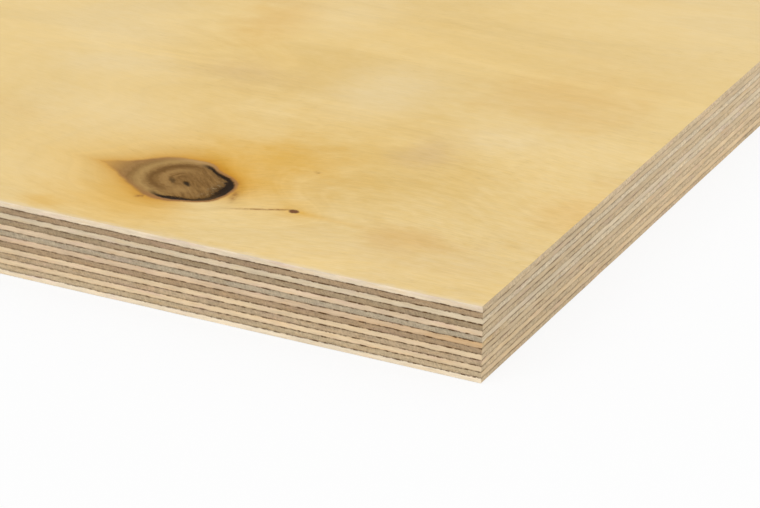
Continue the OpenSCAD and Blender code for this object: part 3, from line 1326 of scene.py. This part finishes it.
def add_floor(scene):
    """A wide pale floor that is white to the camera, keeps a soft shadow, and fades to plain white far
    away."""
    edge = np.array([-FLOOR_REACH, FLOOR_REACH])
    x, y = np.meshgrid(edge, edge, indexing="ij")
    points = np.stack([x, y, np.full_like(x, CAD_LOW.z - FLOOR_DROP)], -1).reshape(-1, 3)
    mesh = bpy.data.meshes.new("floor_mesh")
    mesh.from_pydata(points.tolist(), [], grid_quads(2, 2, 0).tolist())
    floor = bpy.data.objects.new("floor", mesh)
    scene.collection.objects.link(floor)
    material = bpy.data.materials.new("pale_floor")
    n = cleared(material)
    matte = n.add("BsdfDiffuse", {"Color": (FLOOR_WHITE, FLOOR_WHITE, FLOOR_WHITE)})
    white = n.add("Emission", {"Color": WHITE, "Strength": 1.0})
    glow = n.ramp(n.measure("LENGTH", n.place()) * MM, *FLOOR_FADE, FLOOR_GLOW, 1.0)
    shown = n.add("MixShader", {0: seen_directly(n) * glow, 1: matte, 2: white})
    n.feed(n.tree.nodes.new("ShaderNodeOutputMaterial").inputs[0], shown)
    mesh.materials.append(material)


def add_sky(scene, stage):
    """Even light from all round, white to the camera."""
    world = bpy.data.worlds.new("soft_sky")
    n = cleared(world)
    light = n.add("Background", {"Color": WHITE, "Strength": n.between(seen_directly(n), stage.sky, 1.0)})
    n.feed(n.tree.nodes.new("ShaderNodeOutputWorld").inputs[0], light)
    scene.world = world


def add_lamp(scene, name, offset, power):
    """A large soft lamp at an offset from the photographed corner, pointing at it."""
    lamp = bpy.data.lights.new(name, "AREA")
    lamp.shape = "RECTANGLE"
    lamp.size, lamp.size_y = LAMP_SIZE
    lamp.energy = power
    holder = bpy.data.objects.new(name, lamp)
    holder.location = CORNER + Vector(offset)
    holder.rotation_euler = (CORNER - holder.location).to_track_quat("-Z", "Y").to_euler()
    scene.collection.objects.link(holder)


def add_camera(scene, stage):
    """The camera at the photograph's place: its right, up and back axes from its azimuth, elevation and
    roll."""
    azimuth, elevation, roll = stage.azimuth, stage.elevation, stage.roll
    level_part = math.cos(elevation)
    back = Vector((math.sin(azimuth) * level_part, -math.cos(azimuth) * level_part, math.sin(elevation)))
    level = (-back).cross(Vector((0, 0, 1))).normalized()
    upward = level.cross(-back)
    right = level * math.cos(roll) + upward * math.sin(roll)
    up = back.cross(right)
    camera = bpy.data.cameras.new("camera")
    camera.sensor_fit = "HORIZONTAL"
    camera.sensor_width = SENSOR_WIDTH
    camera.lens = stage.lens
    holder = bpy.data.objects.new("camera", camera)
    turn = Matrix((right, up, back)).transposed()
    holder.matrix_world = Matrix.Translation(CORNER + Vector(stage.eye)) @ turn.to_4x4()
    scene.collection.objects.link(holder)
    scene.camera = holder


class PLYWOOD_PT_sheet(bpy.types.Panel):
    """Lists the sheet's settings and the steps that build it"""

    bl_label = "Plywood sheet"
    bl_idname = "PLYWOOD_PT_sheet"
    bl_space_type = "VIEW_3D"
    bl_region_type = "UI"
    bl_category = "Plywood"

    def draw(self, context):
        for name, operators in PANEL_ROWS.items():
            box = self.layout.box()
            settings = getattr(context.scene, name)
            for key in settings.bl_rna.properties.keys():
                if key not in ("rna_type", "name"):
                    box.prop(settings, key)
            for operator in operators:
                box.operator(operator.bl_idname)


SETTINGS = {"plywood_face": PlywoodFace, "plywood_edges": PlywoodEdges, "plywood_stage": PlywoodStage}
OPERATORS = (PLYWOOD_OT_face_veneer, PLYWOOD_OT_inner_veneers, PLYWOOD_OT_back_veneer, PLYWOOD_OT_stage)
PANEL_ROWS = {"plywood_face": OPERATORS[:1], "plywood_edges": OPERATORS[1:3], "plywood_stage": OPERATORS[3:]}


def register():
    for settings in SETTINGS.values():
        bpy.utils.register_class(settings)
    for name, settings in SETTINGS.items():
        setattr(bpy.types.Scene, name, PointerProperty(type=settings))
    for operator in OPERATORS:
        bpy.utils.register_class(operator)
    bpy.utils.register_class(PLYWOOD_PT_sheet)


def unregister():
    bpy.utils.unregister_class(PLYWOOD_PT_sheet)
    for operator in reversed(OPERATORS):
        bpy.utils.unregister_class(operator)
    for name in SETTINGS:
        delattr(bpy.types.Scene, name)
    for settings in reversed(SETTINGS.values()):
        bpy.utils.unregister_class(settings)


def main():
    """Builds the sheet and its stage."""
    register()
    make_groups()
    bpy.ops.plywood.face_veneer()
    bpy.ops.plywood.inner_veneers()
    bpy.ops.plywood.back_veneer()
    bpy.ops.plywood.stage()


if __name__ == "__main__":
    main()
